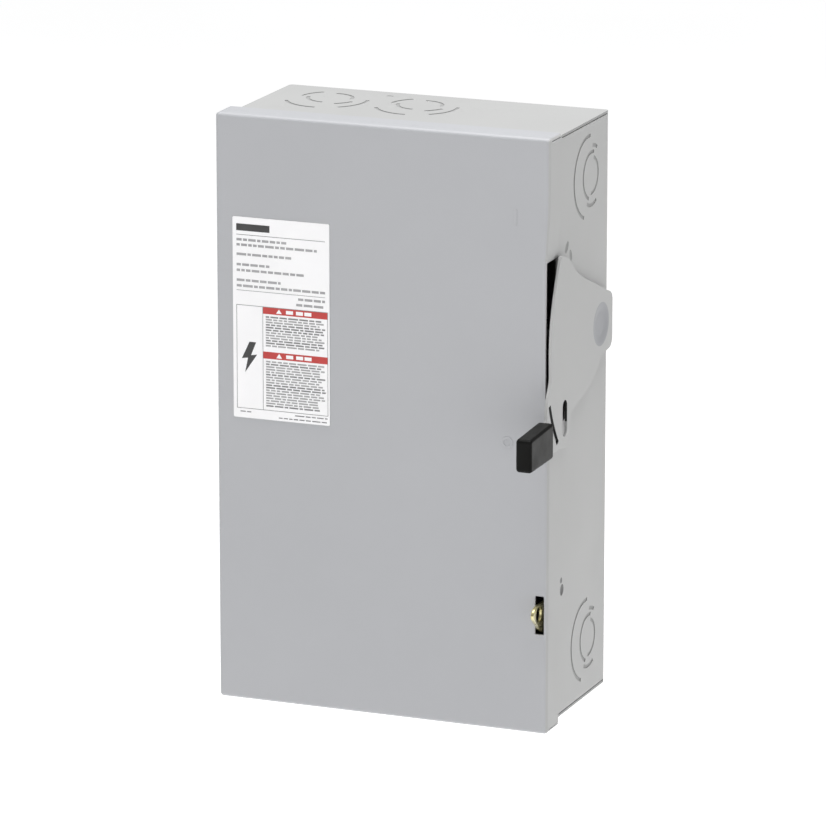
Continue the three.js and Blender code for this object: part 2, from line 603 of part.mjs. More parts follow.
function addCover() {
  add('cover', cover(), paint());
  add('cover_label', coverLabel(), labelStock());
  for (const [place, z] of [['upper', HINGE.z], ['lower', -HINGE.z]]) {
    add(`hinge_leaf_${place}`, hingeLeaf(z), steel());
    add(`hinge_pin_${place}`, hingePin(z), steel());
    add(`cover_knuckle_${place}`, coverKnuckle(z), steel());
  }
}

function addHandle() {
  add('handle_lever', handleLever(), paint());
  add('handle_grip', handleGrip(), blackPlastic());
  add('handle_shaft', rodX(SHAFT.x0, SHAFT.x1, LEVER.y, LEVER.z, SHAFT_R), steel());
  add('shaft_bushing', shaftBushing(), zinc());
  add('drive_crank', driveCrank(), steel());
  add('drive_link', driveLink(), steel());
  add('operating_spring', operatingSpring(), steel());
  add('mechanism_bracket', mechanismBracket(), zinc());
}

const LINE_LUG_Z = 104;
const LOAD_LUG_Z = -133;
const LUG_SCREW = { y: -35.5, length: 8 };
const JAW_FOOT = { line: 122, load: CLIP_Z.upper };
const BASE_SCREWS = { switchX: 44, switchZ: 112, fuseX: 49, fuseZ: -75, r: 4 };

function addSwitch() {
  add('switch_base', switchBase(), moulding());
  add('fuse_base', fuseBase(), moulding());
  add('rotor_bar', rotorBar(), redMoulding());
  add('rotor_arm', rotorArm(), steel());
  for (const [place, x] of Object.entries(POLES)) {
    add(`blade_${place}`, openBlade(x, 0), copper());
    add(`line_jaw_${place}`, jaw(x, 1, JAW_FOOT.line), copper());
    add(`load_jaw_${place}`, jaw(x, -1, JAW_FOOT.load), copper());
    add(`line_lug_${place}`, lug(x, STRAP.y0 - GAP, LINE_LUG_Z), aluminium());
    add(`load_lug_${place}`, lug(x, STRAP.y0 - GAP, LOAD_LUG_Z), aluminium());
    for (const [end, z0] of [['line', LINE_LUG_Z], ['load', LOAD_LUG_Z]]) {
      const screwZ = z0 + LUG.height / 2;
      add(`${end}_screw_${place}`, setScrew(x, LUG_SCREW.y, LUG_SCREW.length, screwZ, LUG.screw), steel());
    }
    add(`fuse_clip_upper_${place}`, fuseClip(x, CLIP_Z.upper, STRAP.y0 - GAP, 0), copper());
    add(`fuse_clip_lower_${place}`, fuseClip(x, CLIP_Z.lower, STRAP.y1, LOAD_LUG_Z - 1), copper());
    const side = Math.sign(x);
    add(`switch_base_screw_${place}`, screwHead(side * BASE_SCREWS.switchX, BASE_SCREWS.switchZ,
      BASE_FRONT - GAP, BASE_SCREWS.r), steel());
    add(`fuse_base_screw_${place}`, screwHead(side * BASE_SCREWS.fuseX, BASE_SCREWS.fuseZ,
      BASE_FRONT - GAP, BASE_SCREWS.r), steel());
  }
}

function addGrounding() {
  add('neutral_insulator', neutralInsulator(), moulding());
  add('neutral_bar', neutralBar(), aluminium());
  for (const place of ['upper', 'lower']) {
    add(`neutral_screw_${place}`, screwHead(NEUTRAL.x, NEUTRAL_SCREWS[place], NEUTRAL.front - GAP,
      NEUTRAL_SCREWS.r), steel());
  }
  add('ground_lug', groundLug(), aluminium());
  add('ground_screw', screwHead(GROUND.x, GROUND.z + GROUND.height / 2, GROUND.front - GAP,
    GROUND.screwR), steel());
}

addEnclosure();
addCover();
addHandle();
addSwitch();
addGrounding();

export default assembly;
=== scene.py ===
"""Looks for the AC disconnect box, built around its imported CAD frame. Lengths in the geometry are
millimetres and turn into metres when a mesh is made. X is right, Y into the wall, Z up."""

import math
import random

import bmesh
import bpy
from mathutils import Matrix, Vector


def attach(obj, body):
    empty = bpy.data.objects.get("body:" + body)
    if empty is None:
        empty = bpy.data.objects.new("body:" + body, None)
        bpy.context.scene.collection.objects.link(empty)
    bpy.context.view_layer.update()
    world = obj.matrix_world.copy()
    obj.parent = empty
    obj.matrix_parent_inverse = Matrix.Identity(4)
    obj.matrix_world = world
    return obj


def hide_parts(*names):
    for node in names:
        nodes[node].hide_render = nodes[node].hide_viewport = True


MM = 0.001
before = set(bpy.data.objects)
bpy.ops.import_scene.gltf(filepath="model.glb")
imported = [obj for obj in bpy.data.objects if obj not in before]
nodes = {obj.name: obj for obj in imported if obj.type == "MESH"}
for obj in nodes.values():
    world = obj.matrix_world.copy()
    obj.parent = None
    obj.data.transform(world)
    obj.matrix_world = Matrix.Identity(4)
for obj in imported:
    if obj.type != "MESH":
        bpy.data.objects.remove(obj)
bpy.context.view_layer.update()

# ------------------------------------------------------------------ dimensions shared with the CAD
CASE_X, CASE_Z, CASE_FRONT, SHEET = 104.5, 180.0, -95.0, 1.5
COVER_X, COVER_Z, COVER_FRONT, COVER_REAR = 107.5, 183.0, -108.5, -88.8
NOTCH_Z, NOTCH_X = (-8.0, 109.0), 105.4
SLOT_X, SLOT_Z = (99.5, 105.3), (-120.7, -96.7)
PIVOT_Y, PIVOT_Z, LEVER_X = -25.0, 53.0, (107.9, 109.7)
SLIT_R, SLIT_W = 92.6, 3.6
LABEL_FRONT = -109.0


# ------------------------------------------------------------------ materials
def new_material(name):
    mat = bpy.data.materials.new(name)
    mat.use_nodes = True
    nt = mat.node_tree
    return mat, nt, nt.nodes["Principled BSDF"]


def noise(nt, scale, detail=2.0, rough=0.5, stretch=None):
    coord = nt.nodes.new("ShaderNodeTexCoord")
    out = coord.outputs["Object"]
    if stretch:
        mapping = nt.nodes.new("ShaderNodeMapping")
        mapping.inputs["Scale"].default_value = stretch
        nt.links.new(out, mapping.inputs["Vector"])
        out = mapping.outputs["Vector"]
    tex = nt.nodes.new("ShaderNodeTexNoise")
    tex.inputs["Scale"].default_value = scale
    tex.inputs["Detail"].default_value = detail
    tex.inputs["Roughness"].default_value = rough
    nt.links.new(out, tex.inputs["Vector"])
    return tex.outputs["Fac"]


def ramp(nt, fac, stops):
    node = nt.nodes.new("ShaderNodeValToRGB")
    elements = node.color_ramp.elements
    while len(elements) < len(stops):
        elements.new(0.5)
    for element, (at, colour) in zip(elements, stops):
        element.position = at
        element.color = (*colour, 1.0)
    nt.links.new(fac, node.inputs["Fac"])
    return node.outputs["Color"]


def spread(nt, fac, low, high):
    node = nt.nodes.new("ShaderNodeMapRange")
    node.inputs["From Min"].default_value = 0.3
    node.inputs["From Max"].default_value = 0.7
    node.inputs["To Min"].default_value = low
    node.inputs["To Max"].default_value = high
    nt.links.new(fac, node.inputs["Value"])
    return node.outputs["Result"]


def bump(nt, bsdf, height, strength, distance):
    node = nt.nodes.new("ShaderNodeBump")
    node.inputs["Strength"].default_value = strength
    node.inputs["Distance"].default_value = distance
    nt.links.new(height, node.inputs["Height"])
    nt.links.new(node.outputs["Normal"], bsdf.inputs["Normal"])


def surface(name, stops, rough, metallic=0.0, blotch=30, grain=900, relief=(0.2, 0.00005), stretch=None,
            coat=0.0, specular=0.5):
    """A material whose colour drifts between stops, with its own roughness variation and surface grain."""
    mat, nt, bsdf = new_material(name)
    bsdf.inputs["Metallic"].default_value = metallic
    bsdf.inputs["Coat Weight"].default_value = coat
    bsdf.inputs["Coat Roughness"].default_value = 0.2
    bsdf.inputs["Specular IOR Level"].default_value = specular
    drift = noise(nt, blotch, 4.0, 0.6)
    nt.links.new(ramp(nt, drift, stops), bsdf.inputs["Base Color"])
    nt.links.new(spread(nt, noise(nt, blotch * 2.3, 3.0), *rough), bsdf.inputs["Roughness"])
    bump(nt, bsdf, noise(nt, grain, 2.0, 0.5, stretch), *relief)
    return mat


# The cover's grey carries a painted bluish front-light tint. The case paint below is the same grey without
# it.
COVER_BLUE_LIGHT_TINT = surface("cover_paint_blue_light_tint", [(0.35, (0.452, 0.458, 0.476)), (0.65, (0.466, 0.472, 0.490))],
                      (0.40, 0.47), blotch=7, grain=620, relief=(0.10, 0.00012), specular=0.45)
CASE_PAINT = surface("case_enamel", [(0.35, (0.444, 0.446, 0.442)), (0.65, (0.458, 0.460, 0.456))],
                     (0.40, 0.47), blotch=7, grain=620, relief=(0.10, 0.00012), specular=0.45)
# Darker bluish grey for the lever's hub dish: painted shade of the dish on the lever's own paint.
HUB_PAINTED_SHADE = surface("hub_painted_shade", [(0.35, (0.320, 0.325, 0.342)), (0.65, (0.333, 0.339, 0.356))],
                    (0.40, 0.47), blotch=9, grain=620, relief=(0.10, 0.00012), specular=0.40)
# Darker grey for the knockout grooves, the upper dents and the end caps' side edges: painted shade in grooves
# and seams on the case's own paint.
GROOVE_PAINTED_SHADE = surface("groove_painted_shade", [(0.35, (0.340, 0.342, 0.339)), (0.65, (0.355, 0.357, 0.354))],
                       (0.45, 0.52), blotch=9, grain=620, relief=(0.10, 0.00012), specular=0.35)
# Dark grey paint in the lower dents' hollows.
DENT_DARK_GREY = surface("dent_dark_grey", [(0.35, (0.20, 0.20, 0.20)), (0.65, (0.26, 0.26, 0.26))],
                (0.5, 0.6), blotch=60, grain=900, relief=(0.15, 0.00008), specular=0.3)
# Near-black for the walls of the lever's slit and padlock slot: painted shade inside the openings.
SLIT_PAINTED_SHADE = surface("slit_painted_shade", [(0.35, (0.020, 0.021, 0.021)), (0.65, (0.034, 0.035, 0.035))],
                  (0.5, 0.6), blotch=60, grain=900, relief=(0.15, 0.00008), specular=0.2)
ZINC = surface("yellow_chromate", [(0.30, (0.50, 0.42, 0.16)), (0.5, (0.74, 0.68, 0.38)),
                                   (0.68, (0.62, 0.60, 0.46))],
               (0.24, 0.36), metallic=0.9, blotch=110, grain=1500, relief=(0.12, 0.00004))
STEEL = surface("clear_zinc_steel", [(0.35, (0.52, 0.53, 0.54)), (0.65, (0.62, 0.63, 0.64))],
                (0.30, 0.42), metallic=1.0, blotch=60, grain=500, relief=(0.10, 0.00003), stretch=(8, 1, 1))
COPPER = surface("bare_copper", [(0.3, (0.50, 0.22, 0.12)), (0.7, (0.68, 0.36, 0.22))],
                 (0.26, 0.40), metallic=1.0, blotch=45, grain=700, relief=(0.12, 0.00003), stretch=(1, 1, 9))
ALUMINIUM = surface("tinned_aluminium", [(0.35, (0.62, 0.63, 0.64)), (0.65, (0.72, 0.73, 0.73))],
                    (0.30, 0.42), metallic=1.0, blotch=70, grain=900, relief=(0.14, 0.00004))
GRIP = surface("black_grip", [(0.35, (0.008, 0.008, 0.007)), (0.65, (0.012, 0.012, 0.010))],
               (0.42, 0.52), blotch=40, grain=1400, relief=(0.22, 0.00006), specular=0.20)
# Darker black for the grip's front face and rounded edges: painted shade on the grip's own plastic.
GRIP_PAINTED_SHADE = surface("grip_painted_shade", [(0.35, (0.004, 0.004, 0.0035)), (0.65, (0.007, 0.007, 0.006))],
                    (0.48, 0.58), blotch=40, grain=1400, relief=(0.22, 0.00006), specular=0.12)
MOULDING = surface("dark_thermoset", [(0.35, (0.020, 0.018, 0.017)), (0.65, (0.030, 0.027, 0.025))],
                   (0.48, 0.60), blotch=35, grain=1200, relief=(0.3, 0.00006))
RED_MOULDING = surface("red_thermoset", [(0.35, (0.17, 0.028, 0.018)), (0.65, (0.22, 0.040, 0.026))],
                       (0.42, 0.55), blotch=35, grain=1200, relief=(0.3, 0.00006))
FILM = surface("label_film", [(0.35, (0.955, 0.950, 0.958)), (0.65, (0.985, 0.980, 0.988))],
               (0.36, 0.44), blotch=25, grain=1500, relief=(0.05, 0.00002))
RED_INK = surface("label_red", [(0.35, (0.50, 0.035, 0.030)), (0.65, (0.56, 0.045, 0.038))],
                  (0.36, 0.44), blotch=60, grain=1500, relief=(0.05, 0.00002))
GREY_INK = surface("label_grey", [(0.35, (0.20, 0.20, 0.205)), (0.65, (0.25, 0.25, 0.255))],
                   (0.40, 0.50), blotch=60, grain=1500, relief=(0.05, 0.00002))
PALE_INK = surface("label_pale_grey", [(0.35, (0.34, 0.34, 0.345)), (0.65, (0.40, 0.40, 0.405))],
                   (0.40, 0.50), blotch=60, grain=1500, relief=(0.05, 0.00002))
BLACK_INK = surface("label_black", [(0.35, (0.030, 0.030, 0.030)), (0.65, (0.045, 0.045, 0.045))],
                    (0.36, 0.44), blotch=60, grain=1500, relief=(0.05, 0.00002))


# ------------------------------------------------------------------ mesh helpers
def arc(a, b, r, start, end, steps=24):
    """Points on an arc, angles in degrees."""
    turn = [math.radians(start + (end - start) * i / steps) for i in range(steps + 1)]
    return [(a + r * math.cos(t), b + r * math.sin(t)) for t in turn]


def rounded(a0, a1, b0, b1, r, steps=6):
    return (arc(a1 - r, b1 - r, r, 0, 90, steps) + arc(a0 + r, b1 - r, r, 90, 180, steps)
            + arc(a0 + r, b0 + r, r, 180, 270, steps) + arc(a1 - r, b0 + r, r, 270, 360, steps))


def tidy(points):
    kept = []
    for p in points:
        if not kept or math.dist(p, kept[-1]) > 0.01:
            kept.append(p)
    return kept[:-1] if math.dist(kept[0], kept[-1]) < 0.01 else kept


PLACE = {
    "x": lambda a, b, d: (d, a, b),
    "y": lambda a, b, d: (a, d, b),
    "z": lambda a, b, d: (a, b, d),
}


def add_prism(bm, outline, axis, low, high, slot=0):
    """An outline in the two other axes, made solid between low and high along axis."""
    outline = tidy(outline)
    rings = [[bm.verts.new(PLACE[axis](a, b, d)) for a, b in outline] for d in (low, high)]
    faces = [bm.faces.new(rings[0]), bm.faces.new(rings[1])]
    count = len(outline)
    for i in range(count):
        j = (i + 1) % count
        faces.append(bm.faces.new((rings[0][i], rings[0][j], rings[1][j], rings[1][i])))
    bmesh.ops.recalc_face_normals(bm, faces=faces)
    for face in faces:
        face.material_index = slot
    return faces


def add_box(bm, x0, x1, y0, y1, z0, z1, slot=0):
    return add_prism(bm, [(x0, y0), (x1, y0), (x1, y1), (x0, y1)], "z", z0, z1, slot)


def add_lathe(bm, profile, origin, axis="x", steps=64):
    """A closed body turned from (distance along axis, radius) points that start and end on the axis."""
    rings = []
    for along, radius in profile:
        ring = []
        for i in range(steps if radius > 0 else 1):
            t = 2 * math.pi * i / steps
            c, s = radius * math.cos(t), radius * math.sin(t)
            shift = {"x": (along, c, s), "y": (c, along, s), "z": (c, s, along)}[axis]
            ring.append(bm.verts.new(Vector(origin) + Vector(shift)))
        rings.append(ring)
    faces = []
    for one, two in zip(rings, rings[1:]):
        for i in range(steps):
            j = (i + 1) % steps
            corners = [one[i % len(one)], one[j % len(one)], two[j % len(two)], two[i % len(two)]]
            corners = list(dict.fromkeys(corners))
            if len(corners) > 2:
                faces.append(bm.faces.new(corners))
    bmesh.ops.recalc_face_normals(bm, faces=faces)
    return faces


def to_object(name, bm):
    bmesh.ops.scale(bm, vec=(MM, MM, MM), verts=bm.verts)
    mesh = bpy.data.meshes.new(name)
    bm.to_mesh(mesh)
    bm.free()
    obj = bpy.data.objects.new(name, mesh)
    bpy.context.scene.collection.objects.link(obj)
    return obj


def bake(obj):
    """Applies the modifiers, so that the mesh is what shows."""
    bpy.context.view_layer.update()
    graph = bpy.context.evaluated_depsgraph_get()
    mesh = bpy.data.meshes.new_from_object(obj.evaluated_get(graph))
    obj.modifiers.clear()
    obj.data = mesh


def cut(obj, cutter_bm, operation="DIFFERENCE"):
    cutter = to_object(obj.name + "_cutter", cutter_bm)
    mod = obj.modifiers.new("cut", "BOOLEAN")
    mod.operation = operation
    mod.solver = "EXACT"
    mod.object = cutter
    bake(obj)
    bpy.data.objects.remove(cutter)


def soften(obj, width, segments=2, angle=35):
    mod = obj.modifiers.new("edges", "BEVEL")
    mod.width = width * MM
    mod.segments = segments
    mod.limit_method = "ANGLE"
    mod.angle_limit = math.radians(angle)
    mod.use_clamp_overlap = True
    mod.miter_outer = "MITER_ARC"
    bake(obj)


def clean(obj, smooth=32):
    bm = bmesh.new()
    bm.from_mesh(obj.data)
    bmesh.ops.remove_doubles(bm, verts=bm.verts, dist=1e-6)
    bmesh.ops.dissolve_degenerate(bm, edges=bm.edges, dist=1e-6)
    loose = [v for v in bm.verts if not v.link_faces]
    bmesh.ops.delete(bm, geom=loose, context="VERTS")
    bm.to_mesh(obj.data)
    bm.free()
    for polygon in obj.data.polygons:
        polygon.use_smooth = True
    obj.data.set_sharp_from_angle(angle=math.radians(smooth))
    mod = obj.modifiers.new("normals", "WEIGHTED_NORMAL")
    mod.keep_sharp = True
    mod.weight = 100
    bake(obj)


def mark_faces(obj, index, test):
    """Gives the faces whose centre and normal, in millimetres, pass the test another material."""
    for polygon in obj.data.polygons:
        if test(polygon.center / MM, polygon.normal):
            polygon.material_index = index


def piece(obj, body, materials, replaces=(), smooth=32):
    clean(obj, smooth)
    indexes = [p.material_index for p in obj.data.polygons]
    obj.data.materials.clear()
    for material in materials:
        obj.data.materials.append(material)
    last = len(materials) - 1
    for polygon, index in zip(obj.data.polygons, indexes):
        polygon.material_index = min(index, last)
    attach(obj, body)
    if replaces:
        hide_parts(*replaces)
    return obj


# ------------------------------------------------------------------ knockouts
LINE, DEPTH = 2.2, 0.45
SIDE_Y, SIDE_Z, OUTER_SHIFT = -29.5, (145.5, -143.5), 5.0
END_Y, END_X = -29.5, (-65.5, -6.5)
SIDE_RINGS = [(14.4, 75, 250), (11.0, -95, 72), (18.2, -116, -64), (18.2, 60, 86)]
SIDE_OUTER = [(25.0, 84, 252)]
END_RINGS = [(18.0, 125, 180), (13.6, 184, 272), (13.6, 2, 96), (18.0, -60, -20)]
END_OUTER = [(25.0, 208, 275), (25.0, -52, 14)]


def band(a, b, r, start, end, width=LINE):
    steps = max(10, int(abs(end - start) / 4))
    return arc(a, b, r + width / 2, start, end, steps) + arc(a, b, r - width / 2, end, start, steps)


def knockout_cutters(axis, face, outward):
    bm = bmesh.new()
    low, high = sorted((face - outward * DEPTH, face + outward * 2))
    if axis == "x":
        sets = [(SIDE_Y, z, SIDE_RINGS, SIDE_OUTER) for z in SIDE_Z]
    else:
        sets = [(x, END_Y, END_RINGS, END_OUTER) for x in END_X]
    for a, b, rings, outer in sets:
        for r, start, end in rings:
            add_prism(bm, band(a, b, r, start, end), axis, low, high)
        shifted = (a - OUTER_SHIFT, b) if axis == "x" else (a, b - OUTER_SHIFT)
        for r, start, end in outer:
            add_prism(bm, band(*shifted, r, start, end), axis, low, high)
    return bm


KNOCKOUT_REACH = 32.0


def in_groove(depth, point, centres):
    """Below the sheet's face and inside a knockout's outline."""
    return 0.02 < depth < DEPTH + 0.1 and any(math.dist(point, centre) < KNOCKOUT_REACH for centre in centres)


# ------------------------------------------------------------------ enclosure
WALL_TOP = 177.9
WALL_LOCK, WALL_LOCK_R = (-89.5, -68.5, 4, 21), 8.4
LEVER_WINDOW = [(-96, 24), (-86, 24), (-86, 109), (-96, 109)]
SHAFT_HOLE_R = 7.5
WALL_HOLES, WALL_HOLE_R = ((0, 160), (-74, -160), (74, -160)), 3.5
BEND = 2.2
CAP_LEG_INSET, CAP_LEG_LENGTH = 2.0, 13
TOP_MARK = (-36, -31.5, -12.5, -10)

# Shallow dents beside the lever and above the lower knockouts: Y, Z, half width, half height, depth, tilt.
DIMPLES = [(-71.2, 109.8, 2.3, 4.0, 0.9, -38), (-64.5, 103.7, 2.0, 3.8, 0.6, 20),
           (-76.2, -101.0, 3.0, 3.6, 1.0, -14), (-77.4, -94.8, 1.9, 1.8, 0.4, 10)]


def case_wrap():
    """Back and both sides, folded from one sheet with rounded bends at the wall."""
    outer = ([(CASE_X, CASE_FRONT)] + arc(CASE_X - BEND, -BEND, BEND, 0, 90, 8)
             + arc(-CASE_X + BEND, -BEND, BEND, 90, 180, 8) + [(-CASE_X, CASE_FRONT)])
    x, b = CASE_X - SHEET, BEND - SHEET
    inner = ([(-x, CASE_FRONT)] + arc(-CASE_X + BEND, -BEND, b, 180, 90, 8)
             + arc(CASE_X - BEND, -BEND, b, 90, 0, 8) + [(x, CASE_FRONT)])
    bm = bmesh.new()
    add_prism(bm, outer + inner, "z", -WALL_TOP, WALL_TOP)
    obj = to_object("case_wrap", bm)
    for side in (1, -1):
        cut(obj, knockout_cutters("x", side * CASE_X, side))
    holes = bmesh.new()
    through = (CASE_X - 3.5, CASE_X + 1.5)
    add_prism(holes, LEVER_WINDOW, "x", *through)
    add_prism(holes, rounded(*WALL_LOCK, WALL_LOCK_R), "x", *through)
    add_prism(holes, arc(PIVOT_Y, PIVOT_Z, SHAFT_HOLE_R, 0, 360, 48), "x", *through)
    for x, z in WALL_HOLES:
        add_prism(holes, arc(x, z, WALL_HOLE_R, 0, 360, 32), "y", -3, 1)
    cut(obj, holes)
    for y, z, ry, rz, depth, tilt in DIMPLES:
        dimple = bmesh.new()
        made = bmesh.ops.create_uvsphere(dimple, u_segments=20, v_segments=12, radius=1.0)
        bmesh.ops.transform(dimple, verts=made["verts"], matrix=(
            Matrix.Translation((CASE_X, y, z)) @ Matrix.Rotation(math.radians(tilt), 4, "X")
            @ Matrix.Diagonal((depth, ry, rz, 1))))
        cut(obj, dimple)
    soften(obj, 0.22, 2, 40)
    # Knockout grooves take the darker grey: painted shade.
    mark_faces(obj, 2, lambda c, n: c.y < -BEND - 0.1 and in_groove(
        CASE_X - abs(c.x), (c.y, c.z), [(SIDE_Y, z) for z in SIDE_Z]))
    # Dent hollows: the upper ones take the grooves' painted shade, the lower ones the dark grey.
    for y, z, ry, rz, depth, tilt in DIMPLES:
        mark_faces(obj, 2 if z > 0 else 1, lambda c, n: (
            CASE_X - 1.3 < c.x < CASE_X - 0.05 and math.dist((c.y, c.z), (y, z)) < rz))
    return piece(obj, "case", [CASE_PAINT, DENT_DARK_GREY, GROOVE_PAINTED_SHADE],
                 ["back_panel", "side_wall_left", "side_wall_right"])


def end_cap(name, side):
    """A cap with its long edges turned in behind the side walls."""
    face = side * CASE_Z
    bm = bmesh.new()
    x = CASE_X - CAP_LEG_INSET
    leg = side * (CASE_Z - CAP_LEG_LENGTH)
    under = side * (CASE_Z - SHEET)
    outline = rounded(-CASE_X, CASE_X, CASE_FRONT, 0, BEND, 6)
    add_prism(bm, outline, "z", *sorted((face, under)))
    obj = to_object(name + "_plate", bm)
    cut(obj, knockout_cutters("z", face, side))
    legs = bmesh.new()
    for s in (1, -1):
        add_box(legs, *sorted((s * x, s * (x - SHEET))), CASE_FRONT + 1, -2.4,
                *sorted((leg, under + side * 0.4)))
    cut(obj, legs, "UNION")
    if side > 0:
        mark = bmesh.new()
        add_prism(mark, rounded(*TOP_MARK, 0.6), "z", face - 0.4, face + 1)
        cut(obj, mark)
    soften(obj, 0.45, 3, 40)
    # The caps' side edge faces and knockout grooves take the darker grey: painted shade along the seam and in
    # the grooves.
    mark_faces(obj, 1, lambda c, n: (abs(n.x) > 0.6 and abs(c.x) > CASE_X - 0.6) or (
        c.y < -1 and abs(c.x) < CASE_X - 3 and in_groove(
            CASE_Z - abs(c.z), (c.x, c.y), [(x, END_Y) for x in END_X])))
    return piece(obj, "case", [CASE_PAINT, GROOVE_PAINTED_SHADE], [name])


COVER_BEND = 2.4
JOGGLE_TOP, JOGGLE_STEPS, JOGGLE_STEP = 146.0, 17, 2.5
DIP_INNER, DIP_OUTER = 1.2, 0.55
NOTCH_ROLL = 1.1
MARK_ON = (85, 87, 129.5, 139.5)
MARK_OFF, MARK_OFF_OUTER, MARK_OFF_INNER = (81.3, -3.5), 3.6, 2.2
MARK_RISE = 0.35


def cover():
    """The folded cover: rounded front bends, open flange corners, the lever's notch and the hasp's slot."""
    bm = bmesh.new()
    made = bmesh.ops.create_cube(bm, size=1.0)
    bmesh.ops.transform(bm, verts=made["verts"], matrix=(
        Matrix.Translation((0, (COVER_FRONT + COVER_REAR) / 2, 0))
        @ Matrix.Diagonal((2 * COVER_X, COVER_REAR - COVER_FRONT, 2 * COVER_Z, 1))))
    rear = [f for f in bm.faces if f.calc_center_median().y > COVER_REAR - 0.1]
    bmesh.ops.delete(bm, geom=rear, context="FACES_ONLY")
    front = [e for e in bm.edges if all(v.co.y < COVER_FRONT + 0.1 for v in e.verts)]
    corner = [e for e in bm.edges if abs(e.verts[0].co.y - e.verts[1].co.y) > 1]
    bmesh.ops.bevel(bm, geom=front + corner, offset=COVER_BEND, offset_type="OFFSET", segments=5, profile=0.5,
                    affect="EDGES", clamp_overlap=True)
    obj = to_object("cover_pan", bm)
    mod = obj.modifiers.new("sheet", "SOLIDIFY")
    mod.thickness = SHEET * MM
    mod.offset = -1
    mod.use_even_offset = True
    mod.use_quality_normals = True
    bake(obj)
    joggle(obj)
    holes = bmesh.new()
    add_prism(holes, [(NOTCH_X, NOTCH_Z[0]), (COVER_X + 1, NOTCH_Z[0]), (COVER_X + 1, NOTCH_Z[1]),
                      (NOTCH_X, NOTCH_Z[1])], "y", COVER_FRONT - 1, COVER_REAR + 1)
    add_prism(holes, rounded(*SLOT_X, *SLOT_Z, 0.7, 3), "y", COVER_FRONT - 1, COVER_FRONT + 3)
    for sx in (1, -1):
        for sz in (1, -1):
            add_box(holes, *sorted((sx * (COVER_X + 1), sx * (COVER_X - 2.6))),
                    COVER_FRONT + 3.4, COVER_REAR + 1,
                    *sorted((sz * (COVER_Z - SHEET - 0.9), sz * (COVER_Z - SHEET - 0.45))))
    cut(obj, holes)
    round_notch(obj)
    soften(obj, 0.28, 2, 42)
    # The right flange's outward faces take the neutral, slightly darker case paint: painted side light and
    # shade on the cover's one paint.
    mark_faces(obj, 1, lambda c, n: n.x > 0.6 and c.x > 100)
    return piece(obj, "cover", [COVER_BLUE_LIGHT_TINT, CASE_PAINT], ["cover"], smooth=40)


def joggle(obj):
    """Above the notch the right flange dips inwards, to clear the lever's fan."""
    bm = bmesh.new()
    bm.from_mesh(obj.data)
    foot = NOTCH_Z[1] - JOGGLE_STEP
    for i in range(JOGGLE_STEPS):
        height = foot + i * JOGGLE_STEP
        bmesh.ops.bisect_plane(bm, geom=bm.verts[:] + bm.edges[:] + bm.faces[:],
                               plane_co=(0, 0, height * MM), plane_no=(0, 0, 1), dist=1e-7)
    for v in bm.verts:
        x, y, z = (c / MM for c in v.co)
        if x > 100 and foot + 1 < z < JOGGLE_TOP:
            t = min(1.0, (JOGGLE_TOP - z) / (JOGGLE_TOP - NOTCH_Z[1]))
            outside = min(1.0, max(0.0, (x - 106) / 1.5))
            dip = (x - 100) / 6 * DIP_INNER if x < 106 else DIP_INNER + DIP_OUTER * outside
            v.co.x -= dip * t * t * (3 - 2 * t) * MM
    bm.to_mesh(obj.data)
    bm.free()


def round_notch(obj):
    """The notch's long edge on the front face is rolled over."""
    bm = bmesh.new()
    bm.from_mesh(obj.data)
    bmesh.ops.remove_doubles(bm, verts=bm.verts, dist=1e-6)
    run = [e for e in bm.edges if all(abs(v.co.x / MM - NOTCH_X) < 0.05 and v.co.y / MM < COVER_FRONT + 0.3
                                      and NOTCH_Z[0] - 0.1 < v.co.z / MM < NOTCH_Z[1] + 0.1 for v in e.verts)]
    bmesh.ops.bevel(bm, geom=run, offset=NOTCH_ROLL * MM, offset_type="OFFSET", segments=4, profile=0.5,
                    affect="EDGES", clamp_overlap=True)
    bm.to_mesh(obj.data)
    bm.free()


def marks():
    """Generic raised marks: a bar where the lever is up, a ring where it is down."""
    bm = bmesh.new()
    raised = (COVER_FRONT - MARK_RISE, COVER_FRONT + 0.05)
    add_prism(bm, rounded(*MARK_ON, 0.9), "y", *raised)
    obj = to_object("mark_on", bm)
    soften(obj, 0.3, 3)
    piece(obj, "cover", [COVER_BLUE_LIGHT_TINT])
    bm = bmesh.new()
    add_prism(bm, arc(*MARK_OFF, MARK_OFF_OUTER, 0, 360, 40), "y", *raised)
    obj = to_object("mark_off", bm)
    hole = bmesh.new()
    add_prism(hole, arc(*MARK_OFF, MARK_OFF_INNER, 0, 360, 40), "y", COVER_FRONT - 1, COVER_FRONT + 1)
    cut(obj, hole)
    soften(obj, 0.3, 3)
    piece(obj, "cover", [COVER_BLUE_LIGHT_TINT])


# ------------------------------------------------------------------ label
LABEL = (-96.3, -33.1, -4.4, 120.1)
INK_FRONT, INK_BACK = LABEL_FRONT - 0.03, LABEL_FRONT + 0.02


def label():
    bm = bmesh.new()
    add_prism(bm, rounded(*LABEL, 1.0), "y", LABEL_FRONT, LABEL_FRONT + 0.4)
    obj = to_object("label_plate", bm)
    soften(obj, 0.08, 2)
    piece(obj, "cover", [FILM], ["cover_label"])


def text_bar(bm, rng, x0, x1, z, height, slot):
    """A line of print with no letters: short bars like words."""
    x = x0
    while x < x1 - 1.0:
        word = min(rng.uniform(2.0, 6.5), x1 - x)
        add_box(bm, x, x + word, INK_FRONT, INK_BACK, z - height / 2, z + height / 2, slot)
        x += word + 0.8


